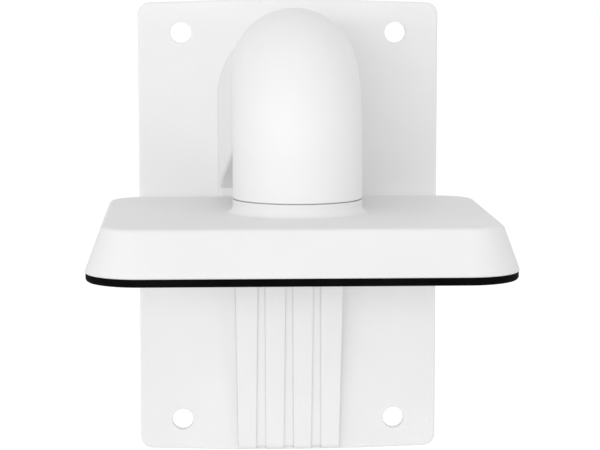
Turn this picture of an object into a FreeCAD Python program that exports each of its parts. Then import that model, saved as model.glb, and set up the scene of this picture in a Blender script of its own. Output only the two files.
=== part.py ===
import FreeCAD, Part

import math
import os

import Sketcher

# Camera wall bracket: a wall plate, a swan-neck arm with a ribbed spine, and a
# rectangular hood with a rubber seal that closes against the camera.
# Millimetres. X runs to the right, -Y out of the wall, +Z up. The origin lies on
# the wall, at the middle of the four wall bolts.

V = FreeCAD.Vector
QUARTER = math.pi / 2
# Room for rounding when an edge's place is compared
SLACK = 0.01

# Driving dimensions
SIZES = {
    # Wall plate
    "plate_width": 170,
    "plate_height": 259.5,
    "plate_thickness": 5,
    "plate_bow": 2,
    "plate_corner": 6.5,
    "plate_edge_round": 1.2,
    "wall_hole_diameter": 12,
    "wall_hole_inset_x": 24.2,
    "wall_hole_inset_z": 18.45,
    # Cable opening in the plate, its grommet and the seal round it
    "opening_diameter": 36,
    "opening_drop": 6.6,
    "grommet_bore": 22,
    "grommet_flange": 42,
    "grommet_flange_thickness": 2,
    "wall_seal_inner": 48,
    "wall_seal_outer": 56,
    "wall_seal_depth": 2,
    "rubber_clearance": 0.2,
    # Foot of the arm
    "foot_width": 78.8,
    "foot_arch_drop": 53.15,
    "foot_height": 118,
    "foot_depth": 8,
    "foot_rim": 9,
    "foot_corner": 20,
    "foot_edge_round": 1.5,
    "root_height": 92.5,
    "root_corner": 2,
    "hollow_corner": 3,
    # Elbow and neck
    "neck_diameter": 67,
    "neck_reach": 118,
    "arm_rise": 16.3,
    "bend_radius": 40,
    "elbow_height": 74.4,
    "flank_relief": 0.15,
    "neck_drop": 63.6,
    "neck_floor": 9,
    "arm_wall": 4,
    # Ribbed spine
    "spine_width_low": 57.8,
    "spine_taper": 0.85,
    "spine_depth_low": 5,
    "spine_lean": 6.04,
    "spine_sweep": 36,
    "spine_lap": 3,
    "spine_nose": 4,
    "spine_rise": 1,
    "groove_width_low": 5.9,
    "groove_taper": 0.485,
    "groove_depth": 1.1,
    "groove_pitch": 15.85,
    "groove_count": 3,
    # Seal and screws between foot and plate
    "foot_seal_inset": 3.4,
    "foot_seal_width": 2.4,
    "foot_seal_depth": 1.6,
    "boss_diameter": 12,
    "boss_depth": 16,
    "boss_inset": 9,
    "boss_rise": 12,
    "arm_screw_diameter": 5,
    "arm_screw_head": 10,
    "arm_screw_recess": 0.22,
    "arm_screw_length": 16,
    "arm_screw_socket": 3,
    "arm_screw_socket_depth": 2,
    "spine_screw_low": 40,
    "spine_screw_high": 112,
    "spine_screw_length": 9,
    "screw_clearance": 0.25,
    "thread_clearance": 0.05,
    "washer_play": 0.15,
    "screw_end_room": 1.5,
    "seal_side_gap": 0.1,
    # Joint between neck and hood
    "joint_bore": 34,
    "joint_screw_circle": 50,
    "joint_screw_diameter": 5,
    "joint_screw_head": 8.5,
    "joint_screw_head_height": 5,
    "joint_screw_bite": 8,
    "joint_screw_socket": 4,
    "joint_screw_socket_depth": 2.5,
    "washer_thickness": 1.2,
    "washer_diameter": 9.2,
    "washer_slit": 0.8,
    "joint_seal_circle": 61.4,
    "joint_seal_cord": 2,
    "joint_edge": 0.25,
    "joint_gap": 0.5,
    "joint_gap_depth": 1,
    "bush_wall": 1.6,
    "bush_lip": 1.8,
    "bush_lip_thickness": 1.4,
    # Hood
    "hood_width": 215.2,
    "hood_depth": 175.6,
    "hood_height": 23.2,
    "hood_corner": 27.7,
    "hood_slope": 20.5,
    "hood_wall": 3.4,
    "hood_top_round": 2.4,
    "hood_rim_round": 1,
    "hood_rim_land": 9.4,
    "cavity_draft": 5,
    "collar_height": 7.3,
    "collar_round": 3.5,
    "camera_hole_spacing_x": 150,
    "camera_hole_spacing_y": 110,
    "camera_hole_diameter": 4.2,
    "camera_hole_depth": 13,
    "camera_boss_diameter": 11,
    "camera_boss_setback": 2,
    "hood_rib_thickness": 3,
    "hood_rib_height": 8,
    "hub_diameter": 74,
    "hub_wall": 4,
    # Hood seal
    "seal_inset": 0.8,
    "seal_land": 8,
    "seal_thickness": 4,
    "seal_edge_round": 1.8,
    "seal_tongue_inset": 3.4,
    "seal_tongue_width": 2.6,
    "seal_tongue_height": 2.4,
    # Earth connection
    "earth_boss_diameter": 11,
    "earth_boss_height": 5,
    "earth_boss_x": 52,
    "earth_screw_diameter": 4,
    "earth_screw_head": 7.5,
    "earth_screw_head_height": 2.8,
    "earth_screw_length": 7,
    "earth_screw_slot": 1,
    "earth_screw_slot_depth": 1.2,
    "earth_washer_diameter": 9,
    "earth_washer_thickness": 0.8,
    "earth_washer_tooth": 1,
    "earth_washer_teeth": 12,
}

# Places worked out from the driving dimensions, as expressions of the sheet
PLATE_FRONT = "sizes.plate_thickness"
PLATE_LOW = "-sizes.plate_height / 2"
ARCH_HEIGHT = "(sizes.plate_height / 2 - sizes.foot_arch_drop)"
ARM_HEIGHT = f"({ARCH_HEIGHT} + sizes.arm_rise)"
OPENING_HEIGHT = f"({ARCH_HEIGHT} - sizes.opening_drop)"
ROOT_START = "(sizes.plate_thickness + sizes.foot_depth)"
ROOT_LENGTH = "(sizes.neck_reach - sizes.bend_radius - sizes.foot_depth)"
BEND_START = "(sizes.plate_thickness + sizes.neck_reach - sizes.bend_radius)"
NECK_AXIS = "(sizes.plate_thickness + sizes.neck_reach)"
NECK_RADIUS = "sizes.neck_diameter / 2"
NECK_END = f"({ARM_HEIGHT} - sizes.neck_drop)"
FOOT_RADIUS = "sizes.foot_width / 2"
FOOT_TOP = f"({ARCH_HEIGHT} + {FOOT_RADIUS})"
FOOT_LOW = f"({FOOT_TOP} - sizes.foot_height)"
ROOT_LOW = f"({FOOT_TOP} - sizes.root_height)"
ELBOW_LOW = f"({ARM_HEIGHT} + {NECK_RADIUS} - sizes.elbow_height)"
SPINE_END = f"({PLATE_LOW} + sizes.spine_rise)"
HOOD_TOP = "-sizes.collar_height"
HOOD_RIM = "(-sizes.collar_height - sizes.hood_height)"
HOOD_CEILING = "(-sizes.collar_height - sizes.hood_wall)"

doc = FreeCAD.newDocument("camera_wall_bracket")
sheet = doc.addObject("Spreadsheet::Sheet", "sizes")
for row, (alias, size) in enumerate(SIZES.items(), start=1):
    sheet.set(f"A{row}", alias)
    sheet.set(f"B{row}", str(size))
    sheet.setAlias(f"B{row}", alias)
doc.recompute()


def number(expression):
    """The present value of an expression of the sheet."""
    return float(sheet.evalExpression(str(expression).replace("sizes.", "")))


def new_body(name, x="0", y="0", z="0"):
    """A body whose own origin stands at the given place."""
    body = doc.addObject("PartDesign::Body", name)
    body.Label = name
    for axis, expression in (("x", x), ("y", y), ("z", z)):
        body.setExpression(f"Placement.Base.{axis}", expression)
    return body


def new_sketch(body, name, plane, offset="0"):
    """A sketch on one of the body's origin planes, moved along the plane's normal by an offset.
    XY has its normal up, XZ towards the front (-Y) and YZ to the right."""
    support = next(item for item in body.Origin.OriginFeatures if item.Role == plane + "_Plane")
    sketch = body.newObject("Sketcher::SketchObject", name)
    sketch.AttachmentSupport = [(support, "")]
    sketch.MapMode = "FlatFace"
    sketch.setExpression("AttachmentOffset.Base.z", offset)
    return sketch


def bind(sketch, constraint, expression):
    """Adds a dimension and ties it to an expression of the sheet."""
    index = sketch.addConstraint(constraint)
    sketch.setExpression(f"Constraints[{index}]", expression)


def place_point(sketch, geometry, point, x, y):
    """Fixes a point of the sketch at two expressions."""
    bind(sketch, Sketcher.Constraint("DistanceX", -1, 1, geometry, point, number(x)), x)
    bind(sketch, Sketcher.Constraint("DistanceY", -1, 1, geometry, point, number(y)), y)


def polygon(sketch, corners):
    """A closed outline of straight lines through corners given as pairs of expressions."""
    first = sketch.GeometryCount
    points = [V(number(x), number(y), 0) for x, y in corners]
    for index, point in enumerate(points):
        sketch.addGeometry(Part.LineSegment(point, points[(index + 1) % len(points)]), False)
    for index, (x, y) in enumerate(corners):
        after = first + (index + 1) % len(corners)
        sketch.addConstraint(Sketcher.Constraint("Coincident", first + index, 2, after, 1))
        place_point(sketch, first + index, 1, x, y)


def circle(sketch, x, y, diameter):
    """A circle at two expressions."""
    middle = V(number(x), number(y), 0)
    index = sketch.addGeometry(Part.Circle(middle, V(0, 0, 1), number(diameter) / 2), False)
    place_point(sketch, index, 3, x, y)
    bind(sketch, Sketcher.Constraint("Diameter", index, number(diameter)), diameter)


def rounded_rectangle(sketch, width, height, corner, y="0"):
    """A rectangle about (0, y) with one radius at its four corners."""
    half_x = number(width) / 2
    half_y = number(height) / 2
    radius = number(corner)
    middle = number(y)
    first = sketch.GeometryCount
    turns = ((1, 1, 0), (-1, 1, 1), (-1, -1, 2), (1, -1, 3))
    for side_x, side_y, turn in turns:
        centre = V(side_x * (half_x - radius), middle + side_y * (half_y - radius), 0)
        arc = Part.Circle(centre, V(0, 0, 1), radius)
        sketch.addGeometry(Part.ArcOfCircle(arc, turn * QUARTER, (turn + 1) * QUARTER), False)
    for index in range(4):
        here = sketch.Geometry[first + index]
        there = sketch.Geometry[first + (index + 1) % 4]
        sketch.addGeometry(Part.LineSegment(here.EndPoint, there.StartPoint), False)
    for index in range(4):
        line = first + 4 + index
        after = first + (index + 1) % 4
        sketch.addConstraint(Sketcher.Constraint("Tangent", first + index, 2, line, 1))
        sketch.addConstraint(Sketcher.Constraint("Tangent", line, 2, after, 1))
        sketch.addConstraint(Sketcher.Constraint("Vertical" if index % 2 else "Horizontal", line))
    for index in range(1, 4):
        sketch.addConstraint(Sketcher.Constraint("Equal", first, first + index))
    bind(sketch, Sketcher.Constraint("Radius", first, radius), corner)
    right = f"({width}) / 2 - ({corner})"
    up = f"({height}) / 2 - ({corner})"
    place_point(sketch, first, 3, right, f"({y}) + {up}")
    place_point(sketch, first + 2, 3, f"-({right})", f"({y}) - ({up})")


def arch_outline(sketch, half_width, arch_height, low, corner):
    """An arch: a half circle on top, straight sides and a flat bottom with rounded corners."""
    half = number(half_width)
    top = number(arch_height)
    bottom = number(low)
    radius = number(corner)
    first = sketch.GeometryCount
    up = V(0, 0, 1)
    left_corner = Part.Circle(V(radius - half, bottom + radius, 0), up, radius)
    right_corner = Part.Circle(V(half - radius, bottom + radius, 0), up, radius)
    pieces = (
        Part.ArcOfCircle(Part.Circle(V(0, top, 0), up, half), 0, 2 * QUARTER),
        Part.LineSegment(V(-half, top, 0), V(-half, bottom + radius, 0)),
        Part.ArcOfCircle(left_corner, 2 * QUARTER, 3 * QUARTER),
        Part.LineSegment(V(radius - half, bottom, 0), V(half - radius, bottom, 0)),
        Part.ArcOfCircle(right_corner, 3 * QUARTER, 4 * QUARTER),
        Part.LineSegment(V(half, bottom + radius, 0), V(half, top, 0)),
    )
    for piece in pieces:
        sketch.addGeometry(piece, False)
    for index in range(6):
        after = first + (index + 1) % 6
        sketch.addConstraint(Sketcher.Constraint("Tangent", first + index, 2, after, 1))
    sketch.addConstraint(Sketcher.Constraint("Vertical", first + 1))
    sketch.addConstraint(Sketcher.Constraint("Horizontal", first + 3))
    sketch.addConstraint(Sketcher.Constraint("Vertical", first + 5))
    sketch.addConstraint(Sketcher.Constraint("Equal", first + 2, first + 4))
    place_point(sketch, first, 3, "0", arch_height)
    bind(sketch, Sketcher.Constraint("Radius", first, half), half_width)
    bind(sketch, Sketcher.Constraint("Radius", first + 2, radius), corner)
    bind(sketch, Sketcher.Constraint("DistanceY", -1, 1, first + 3, 1, bottom), low)


def pad(body, sketch, length, reverse=False, both_ways=False, slope=None):
    """Raises a sketch along its normal. A slope draws the walls in towards the far end."""
    feature = body.newObject("PartDesign::Pad", sketch.Name + "_pad")
    feature.Profile = sketch
    feature.setExpression("Length", length)
    feature.Reversed = reverse
    feature.Midplane = both_ways
    if slope:
        feature.setExpression("TaperAngle", f"-({slope})")
    return feature


def pocket(body, sketch, depth=None, reverse=False, slope=None):
    """Cuts a sketch against its normal, to a depth or right through."""
    feature = body.newObject("PartDesign::Pocket", sketch.Name + "_pocket")
    feature.Profile = sketch
    feature.Reversed = reverse
    if depth is None:
        feature.Type = "ThroughAll"
        feature.Midplane = True
    else:
        feature.setExpression("Length", depth)
    if slope:
        feature.setExpression("TaperAngle", f"-({slope})")
    return feature


def round_edges(body, base, radius, wanted):
    """Rounds those edges of the last feature that the test picks out."""
    doc.recompute()
    names = [f"Edge{n}" for n, edge in enumerate(base.Shape.Edges, start=1) if wanted(edge)]
    feature = body.newObject("PartDesign::Fillet", base.Name + "_round")
    feature.Base = (base, names)
    feature.setExpression("Radius", radius)
    return feature


def bevel_edges(body, base, size, wanted):
    """Bevels those edges of the last feature that the test picks out."""
    doc.recompute()
    names = [f"Edge{n}" for n, edge in enumerate(base.Shape.Edges, start=1) if wanted(edge)]
    feature = body.newObject("PartDesign::Chamfer", base.Name + "_bevel")
    feature.Base = (base, names)
    feature.setExpression("Size", size)
    return feature


def lies_at(edge, axis, level):
    """True for an edge that lies wholly at one level along an axis."""
    box = edge.BoundBox
    lowest = getattr(box, axis + "Min")
    highest = getattr(box, axis + "Max")
    return abs(lowest - level) < SLACK and abs(highest - level) < SLACK


def runs_through(edge):
    """True for an edge that runs from front to back, as the corners of a plate do."""
    return edge.BoundBox.YLength > max(edge.BoundBox.XLength, edge.BoundBox.ZLength)


def boolean(kind, name, *pieces):
    """A Part boolean: Cut takes a base and a tool, MultiFuse and MultiCommon take any number."""
    result = doc.addObject("Part::" + kind, name)
    result.Label = name
    if kind == "Cut":
        result.Base, result.Tool = pieces
    else:
        result.Shapes = list(pieces)
    return result


def group(name, pieces):
    """Several separate solids of one kind as one sub-part."""
    result = doc.addObject("Part::Compound", name)
    result.Label = name
    result.Links = pieces
    return result


# Screw places
# Screws that hold the foot: two on the arch and two at the lower corners.
ARCH_BOSS_X = f"(({FOOT_RADIUS} - sizes.boss_inset) * cos(40 deg))"
ARCH_BOSS_Z = f"({ARCH_HEIGHT} + ({FOOT_RADIUS} - sizes.boss_inset) * sin(40 deg))"
LOW_BOSS_X = f"({FOOT_RADIUS} - sizes.boss_inset)"
LOW_BOSS_Z = f"({ROOT_LOW} + sizes.boss_rise)"
FOOT_SCREWS = (
    (ARCH_BOSS_X, ARCH_BOSS_Z),
    (f"-{ARCH_BOSS_X}", ARCH_BOSS_Z),
    (LOW_BOSS_X, LOW_BOSS_Z),
    (f"-{LOW_BOSS_X}", LOW_BOSS_Z),
)
SPINE_SCREWS = (
    ("0", f"({SPINE_END} + sizes.spine_screw_low)"),
    ("0", f"({SPINE_END} + sizes.spine_screw_high)"),
)
# Corner angles of a hexagon, in degrees
TURNS = (0, 60, 120, 180, 240, 300)
# Holes that carry the camera, in the hood's own frame
CAMERA_HOLES = tuple(
    (
        f"({side_x} * sizes.camera_hole_spacing_x / 2)",
        f"({side_y} * sizes.camera_hole_spacing_y / 2)",
    )
    for side_x, side_y in ((1, 1), (-1, 1), (-1, -1), (1, -1))
)
# Screws of the joint, on a circle round the neck's axis, between the main directions.
JOINT_SCREWS = tuple(
    (
        f"(sizes.joint_screw_circle / 2 * cos({angle} deg))",
        f"(sizes.joint_screw_circle / 2 * sin({angle} deg))",
    )
    for angle in (45, 135, 225, 315)
)


def make_wall_plate():
    """Flat plate with bowed ends, four wall bolt holes, the cable opening and countersunk holes
    for the screws that hold the arm from behind."""
    body = new_body("wall_plate")
    sketch = new_sketch(body, "plate_outline", "XZ")
    half_x = "sizes.plate_width / 2"
    corner_z = "(sizes.plate_height / 2 - sizes.plate_bow)"
    left = number(half_x)
    high = number(corner_z)
    crown = number("sizes.plate_height / 2")
    upper = Part.Arc(V(left, high, 0), V(0, crown, 0), V(-left, high, 0))
    lower = Part.Arc(V(-left, -high, 0), V(0, -crown, 0), V(left, -high, 0))
    sketch.addGeometry(upper, False)
    sketch.addGeometry(Part.LineSegment(V(-left, high, 0), V(-left, -high, 0)), False)
    sketch.addGeometry(lower, False)
    sketch.addGeometry(Part.LineSegment(V(left, -high, 0), V(left, high, 0)), False)
    for index in range(4):
        sketch.addConstraint(Sketcher.Constraint("Coincident", index, 2, (index + 1) % 4, 1))
    bow_radius = "((sizes.plate_width / 2)^2 + sizes.plate_bow^2) / (2 * sizes.plate_bow)"
    for arc in (0, 2):
        bind(sketch, Sketcher.Constraint("Radius", arc, number(bow_radius)), bow_radius)
    place_point(sketch, 1, 1, f"-{half_x}", corner_z)
    place_point(sketch, 1, 2, f"-{half_x}", f"-{corner_z}")
    place_point(sketch, 3, 1, half_x, f"-{corner_z}")
    place_point(sketch, 3, 2, half_x, corner_z)
    plate = pad(body, sketch, PLATE_FRONT)
    corners = round_edges(body, plate, "sizes.plate_corner", runs_through)
    front = -number(PLATE_FRONT)
    round_edges(body, corners, "sizes.plate_edge_round", lambda edge: lies_at(edge, "Y", front))
    holes = new_sketch(body, "wall_holes", "XZ")
    for side_x, side_z in ((1, 1), (-1, 1), (-1, -1), (1, -1)):
        x = f"{side_x} * (sizes.plate_width / 2 - sizes.wall_hole_inset_x)"
        z = f"{side_z} * (sizes.plate_height / 2 - sizes.wall_hole_inset_z)"
        circle(holes, x, z, "sizes.wall_hole_diameter")
    circle(holes, "0", OPENING_HEIGHT, "sizes.opening_diameter")
    pocket(body, holes)
    flange = new_sketch(body, "grommet_recess", "XZ")
    circle(flange, "0", OPENING_HEIGHT, "sizes.grommet_flange + 2 * sizes.rubber_clearance")
    pocket(body, flange, "sizes.grommet_flange_thickness", reverse=True)
    ring = new_sketch(body, "wall_seal_groove", "XZ")
    circle(ring, "0", OPENING_HEIGHT, "sizes.wall_seal_inner - 2 * sizes.rubber_clearance")
    circle(ring, "0", OPENING_HEIGHT, "sizes.wall_seal_outer + 2 * sizes.rubber_clearance")
    pocket(body, ring, "sizes.wall_seal_depth", reverse=True)
    screws = new_sketch(body, "plate_screw_holes", "XZ")
    through = "sizes.arm_screw_diameter + 2 * sizes.screw_clearance"
    for x, z in FOOT_SCREWS + SPINE_SCREWS:
        circle(screws, x, z, through)
    drilled = pocket(body, screws)
    hole = number(through)
    bevel_edges(
        body,
        drilled,
        "(sizes.arm_screw_head - sizes.arm_screw_diameter) / 2",
        lambda edge: lies_at(edge, "Y", 0) and abs(edge.BoundBox.XLength - hole) < SLACK,
    )
    return body


def make_wall_seal():
    """Rubber ring let into the back of the plate, flush with the wall."""
    body = new_body("wall_seal")
    sketch = new_sketch(body, "wall_seal_ring", "XZ")
    circle(sketch, "0", OPENING_HEIGHT, "sizes.wall_seal_inner")
    circle(sketch, "0", OPENING_HEIGHT, "sizes.wall_seal_outer")
    pad(body, sketch, "sizes.wall_seal_depth")
    return body


def make_cable_grommet():
    """Rubber grommet that grips the edge of the cable opening between two flanges."""
    body = new_body("cable_grommet", z=OPENING_HEIGHT)
    profile = new_sketch(body, "grommet_section", "YZ")
    inner = "sizes.grommet_bore / 2"
    waist = "(sizes.opening_diameter / 2 - sizes.rubber_clearance)"
    rim = "sizes.grommet_flange / 2"
    recess = "(-sizes.grommet_flange_thickness + sizes.rubber_clearance)"
    front = "(-sizes.plate_thickness - sizes.rubber_clearance)"
    face = "(-sizes.plate_thickness - sizes.grommet_flange_thickness)"
    corners = [
        ("0", inner),
        ("0", rim),
        (recess, rim),
        (recess, waist),
        (front, waist),
        (front, rim),
        (face, rim),
        (face, inner),
    ]
    polygon(profile, corners)
    turn_section(body, profile, "H_Axis")
    return body


def make_root(name, inset, corner):
    """The arm's root: from the arch at the wall it narrows and rises to the elbow."""
    body = new_body(name)
    stations = 4
    sketches = []
    for station in range(stations + 1):
        along = f"({station} / {stations})"
        eased = f"({along}^2 * (3 - 2 * {along}))"
        half = f"({FOOT_RADIUS} + ({NECK_RADIUS} - {FOOT_RADIUS}) * {eased} - {inset})"
        arch = f"({ARCH_HEIGHT} + ({ARM_HEIGHT} - {ARCH_HEIGHT}) * {eased})"
        low = f"({ROOT_LOW} + ({ELBOW_LOW} - {ROOT_LOW}) * {along} + {inset})"
        place = f"({ROOT_START} + {ROOT_LENGTH} * {along})"
        sketch = new_sketch(body, f"{name}_section_{station}", "XZ", place)
        arch_outline(sketch, half, arch, low, corner)
        sketches.append(sketch)
    loft = body.newObject("PartDesign::AdditiveLoft", name + "_loft")
    loft.Profile = sketches[0]
    loft.Sections = sketches[1:]
    return body


def make_tube(name, inset, floor):
    """Elbow and neck: a round tube that leaves the root level and turns down to the joint."""
    body = new_body(name)
    path = new_sketch(body, name + "_path", "YZ")
    start = number(BEND_START)
    height = number(ARM_HEIGHT)
    bend = number("sizes.bend_radius")
    end = number(f"{NECK_END} + {floor}")
    centre = Part.Circle(V(-start, height - bend, 0), V(0, 0, 1), bend)
    turn = Part.ArcOfCircle(centre, QUARTER, 2 * QUARTER)
    path.addGeometry(turn, False)
    path.addGeometry(Part.LineSegment(turn.EndPoint, V(-start - bend, end, 0)), False)
    path.addConstraint(Sketcher.Constraint("Tangent", 0, 2, 1, 1))
    path.addConstraint(Sketcher.Constraint("Vertical", 1))
    place_point(path, 0, 3, f"-{BEND_START}", f"{ARM_HEIGHT} - sizes.bend_radius")
    bind(path, Sketcher.Constraint("Radius", 0, bend), "sizes.bend_radius")
    bind(
        path,
        Sketcher.Constraint("DistanceX", -1, 1, 0, 1, -start),
        f"-{BEND_START}",
    )
    bind(
        path,
        Sketcher.Constraint("DistanceY", -1, 1, 1, 2, end),
        f"{NECK_END} + {floor}",
    )
    section = new_sketch(body, name + "_section", "XZ", BEND_START)
    circle(section, "0", ARM_HEIGHT, f"(sizes.neck_diameter - 2 * {inset})")
    tube = body.newObject("PartDesign::AdditivePipe", name + "_pipe")
    tube.Profile = section
    tube.Spine = (path, ["Edge1", "Edge2"])
    return body


def make_web(name, inset, corner):
    """Carries the flanks from the root forward under the elbow, to the middle of the neck."""
    prism = new_body(name + "_prism")
    outline = new_sketch(prism, name + "_outline", "XZ", BEND_START)
    half = f"({NECK_RADIUS} - sizes.flank_relief - {inset})"
    low = f"({ELBOW_LOW} + {inset})"
    arch_outline(outline, half, ARM_HEIGHT, low, corner)
    pad(prism, outline, "sizes.bend_radius")
    sector = new_body(name + "_sector")
    side = new_sketch(sector, name + "_side", "YZ")
    start = number(BEND_START)
    bend = number("sizes.bend_radius")
    height = number(ARM_HEIGHT)
    low_side = f"({ELBOW_LOW} - sizes.arm_wall)"
    floor = number(low_side)
    centre = Part.Circle(V(-start, height - bend, 0), V(0, 0, 1), bend)
    curve = Part.ArcOfCircle(centre, QUARTER, 2 * QUARTER)
    side.addGeometry(curve, False)
    side.addGeometry(Part.LineSegment(curve.EndPoint, V(-start - bend, floor, 0)), False)
    side.addGeometry(
        Part.LineSegment(V(-start - bend, floor, 0), V(-start, floor, 0)), False
    )
    side.addGeometry(Part.LineSegment(V(-start, floor, 0), curve.StartPoint), False)
    for index in range(4):
        side.addConstraint(Sketcher.Constraint("Coincident", index, 2, (index + 1) % 4, 1))
    place_point(side, 0, 1, f"-{BEND_START}", ARM_HEIGHT)
    place_point(side, 0, 2, f"-{NECK_AXIS}", f"{ARM_HEIGHT} - sizes.bend_radius")
    bind(side, Sketcher.Constraint("Radius", 0, bend), "sizes.bend_radius")
    place_point(side, 2, 1, f"-{NECK_AXIS}", low_side)
    place_point(side, 2, 2, f"-{BEND_START}", low_side)
    pad(sector, side, "sizes.neck_diameter", both_ways=True)
    return boolean("MultiCommon", name, prism, sector)


def make_spine_side(name, inset):
    """The spine seen from the side: it leans out from the plate's lower edge, then sweeps into
    the arm's underside. The inset draws every outer face in."""
    body = new_body(name)
    sketch = new_sketch(body, name + "_side", "YZ")
    lean = "tan(sizes.spine_lean)"
    climb = f"(({ELBOW_LOW} - {ROOT_LOW}) / {ROOT_LENGTH})"
    low_z = f"({SPINE_END} + {inset})"
    drawn_in = f"({inset} / cos(sizes.spine_lean) - {inset} * {lean})"
    low_y = f"(-{PLATE_FRONT} - sizes.spine_depth_low + {drawn_in})"
    lap = f"(sizes.spine_lap + {inset} / cos(atan({climb})))"
    under_back = f"({ROOT_LOW} + {lap})"
    under_front = f"({ELBOW_LOW} + {lap})"
    meet_z = (
        f"(({under_back} - {climb} * ({ROOT_START} + {low_y}) - {climb} * {lean} * {low_z})"
        f" / (1 - {climb} * {lean}))"
    )
    meet_y = f"({low_y} - ({meet_z} - {low_z}) * {lean})"
    wall = f"-{PLATE_FRONT}"
    corners = [
        (wall, low_z),
        (low_y, low_z),
        (meet_y, meet_z),
        (f"-{BEND_START}", under_front),
        (f"-{BEND_START}", ARCH_HEIGHT),
        (wall, ARCH_HEIGHT),
    ]
    polygon(sketch, corners)
    side = pad(body, sketch, "2 * sizes.spine_width_low", both_ways=True)
    hollow = number(meet_z)
    sweep = round_edges(
        body, side, f"sizes.spine_sweep + {inset}", lambda edge: lies_at(edge, "Z", hollow)
    )
    front = number(low_y)
    round_edges(
        body, sweep, f"sizes.spine_nose - {inset}", lambda edge: lies_at(edge, "Y", front)
    )
    return body


def make_spine_front(name, grooved):
    """The spine seen from the front: it widens slightly upwards. The grooved form leaves ribs."""
    body = new_body(name)
    outline = new_sketch(body, name + "_front", "XZ", PLATE_FRONT)
    rise = f"({ARCH_HEIGHT} - {PLATE_LOW})"
    low = "sizes.spine_width_low / 2"
    high = f"(sizes.spine_width_low / 2 + tan(sizes.spine_taper) * {rise})"
    top = ARCH_HEIGHT
    polygon(outline, [(f"-{low}", PLATE_LOW), (low, PLATE_LOW), (high, top), (f"-{high}", top)])
    pad(body, outline, "sizes.neck_reach")
    if not grooved:
        return body
    groove = new_sketch(body, name + "_groove", "XZ", PLATE_FRONT)
    middle = "(-sizes.groove_pitch * (sizes.groove_count - 1) / 2)"
    low = "(sizes.groove_width_low / 2)"
    high = f"(sizes.groove_width_low / 2 - tan(sizes.groove_taper) * {rise})"
    corners = [
        (f"{middle} - {low}", PLATE_LOW),
        (f"{middle} + {low}", PLATE_LOW),
        (f"{middle} + {high}", top),
        (f"{middle} - {high}", top),
    ]
    polygon(groove, corners)
    cut = pocket(body, groove, "sizes.neck_reach", reverse=True)
    row = body.newObject("PartDesign::LinearPattern", name + "_grooves")
    row.Originals = [cut]
    row.Direction = (groove, ["H_Axis"])
    row.setExpression("Length", "sizes.groove_pitch * (sizes.groove_count - 1)")
    row.setExpression("Occurrences", "sizes.groove_count")
    body.Tip = row
    return body


def make_foot():
    """The foot's lower flange: it carries on below the arm, with rounded corners and front edge."""
    body = new_body("foot_flange")
    sketch = new_sketch(body, "flange_outline", "XZ", PLATE_FRONT)
    side = FOOT_RADIUS
    top = ARCH_HEIGHT
    corners = [(f"-{side}", FOOT_LOW), (side, FOOT_LOW), (side, top), (f"-{side}", top)]
    polygon(sketch, corners)
    flange = pad(body, sketch, "sizes.foot_depth")
    low = number(FOOT_LOW)
    cornered = round_edges(
        body,
        flange,
        "sizes.foot_corner",
        lambda edge: lies_at(edge, "Z", low) and runs_through(edge),
    )
    front = -number(ROOT_START)
    high = number(top)
    round_edges(
        body,
        cornered,
        "sizes.foot_edge_round",
        lambda edge: lies_at(edge, "Y", front) and not lies_at(edge, "Z", high),
    )
    return body


def make_arch(name, inset, corner):
    """The arch against the plate, as deep as the foot: solid, or the cable opening in it."""
    body = new_body(name)
    sketch = new_sketch(body, name + "_outline", "XZ", PLATE_FRONT)
    half = f"({FOOT_RADIUS} - {inset})"
    arch_outline(sketch, half, ARCH_HEIGHT, f"({ROOT_LOW} + {inset})", corner)
    pad(body, sketch, "sizes.foot_depth")
    return body


def make_arm():
    """The arm casting: foot, hollow root, elbow and neck, with a ribbed spine down to the plate's
    lower edge, bosses for its screws and a floor at the neck's end for the joint."""
    tube = make_tube("arm_tube", "0", "0")
    end = number(NECK_END)
    bevel_edges(tube, tube.Tip, "sizes.joint_edge", lambda edge: lies_at(edge, "Z", end))
    outer = boolean(
        "MultiFuse",
        "arm_outer",
        make_arch("arm_arch", "0", "sizes.root_corner"),
        make_root("arm_root", "0", "sizes.root_corner"),
        tube,
        make_web("arm_web", "0", "sizes.root_corner"),
    )
    hollow = boolean(
        "MultiFuse",
        "arm_hollow",
        make_arch("arm_opening", "sizes.foot_rim", "sizes.hollow_corner"),
        make_root("arm_hollow_root", "sizes.arm_wall", "sizes.hollow_corner"),
        make_tube("arm_hollow_tube", "sizes.arm_wall", "sizes.neck_floor"),
        make_web("arm_hollow_web", "sizes.arm_wall", "sizes.hollow_corner"),
    )
    core = boolean(
        "MultiCommon",
        "spine_core",
        make_spine_side("spine_core_side", "sizes.groove_depth"),
        make_spine_front("spine_core_front", False),
    )
    ribs = boolean(
        "MultiCommon",
        "spine_ribs",
        make_spine_side("spine_rib_side", "0"),
        make_spine_front("spine_rib_front", True),
    )
    bars = new_body("boss_bars")
    sketch = new_sketch(bars, "boss_places", "XZ", PLATE_FRONT)
    for x, z in FOOT_SCREWS:
        circle(sketch, x, z, "sizes.boss_diameter")
    bars.AllowCompound = True
    pad(bars, sketch, "sizes.boss_depth")
    bosses = boolean("MultiCommon", "arm_bosses", bars, outer)
    spined = boolean("MultiFuse", "arm_with_spine", outer, core, ribs, make_foot())
    shell = boolean("Cut", "arm_shell", spined, hollow)
    solid = boolean("MultiFuse", "arm_solid", shell, bosses)
    return boolean("Cut", "arm", solid, make_arm_bores())


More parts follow.
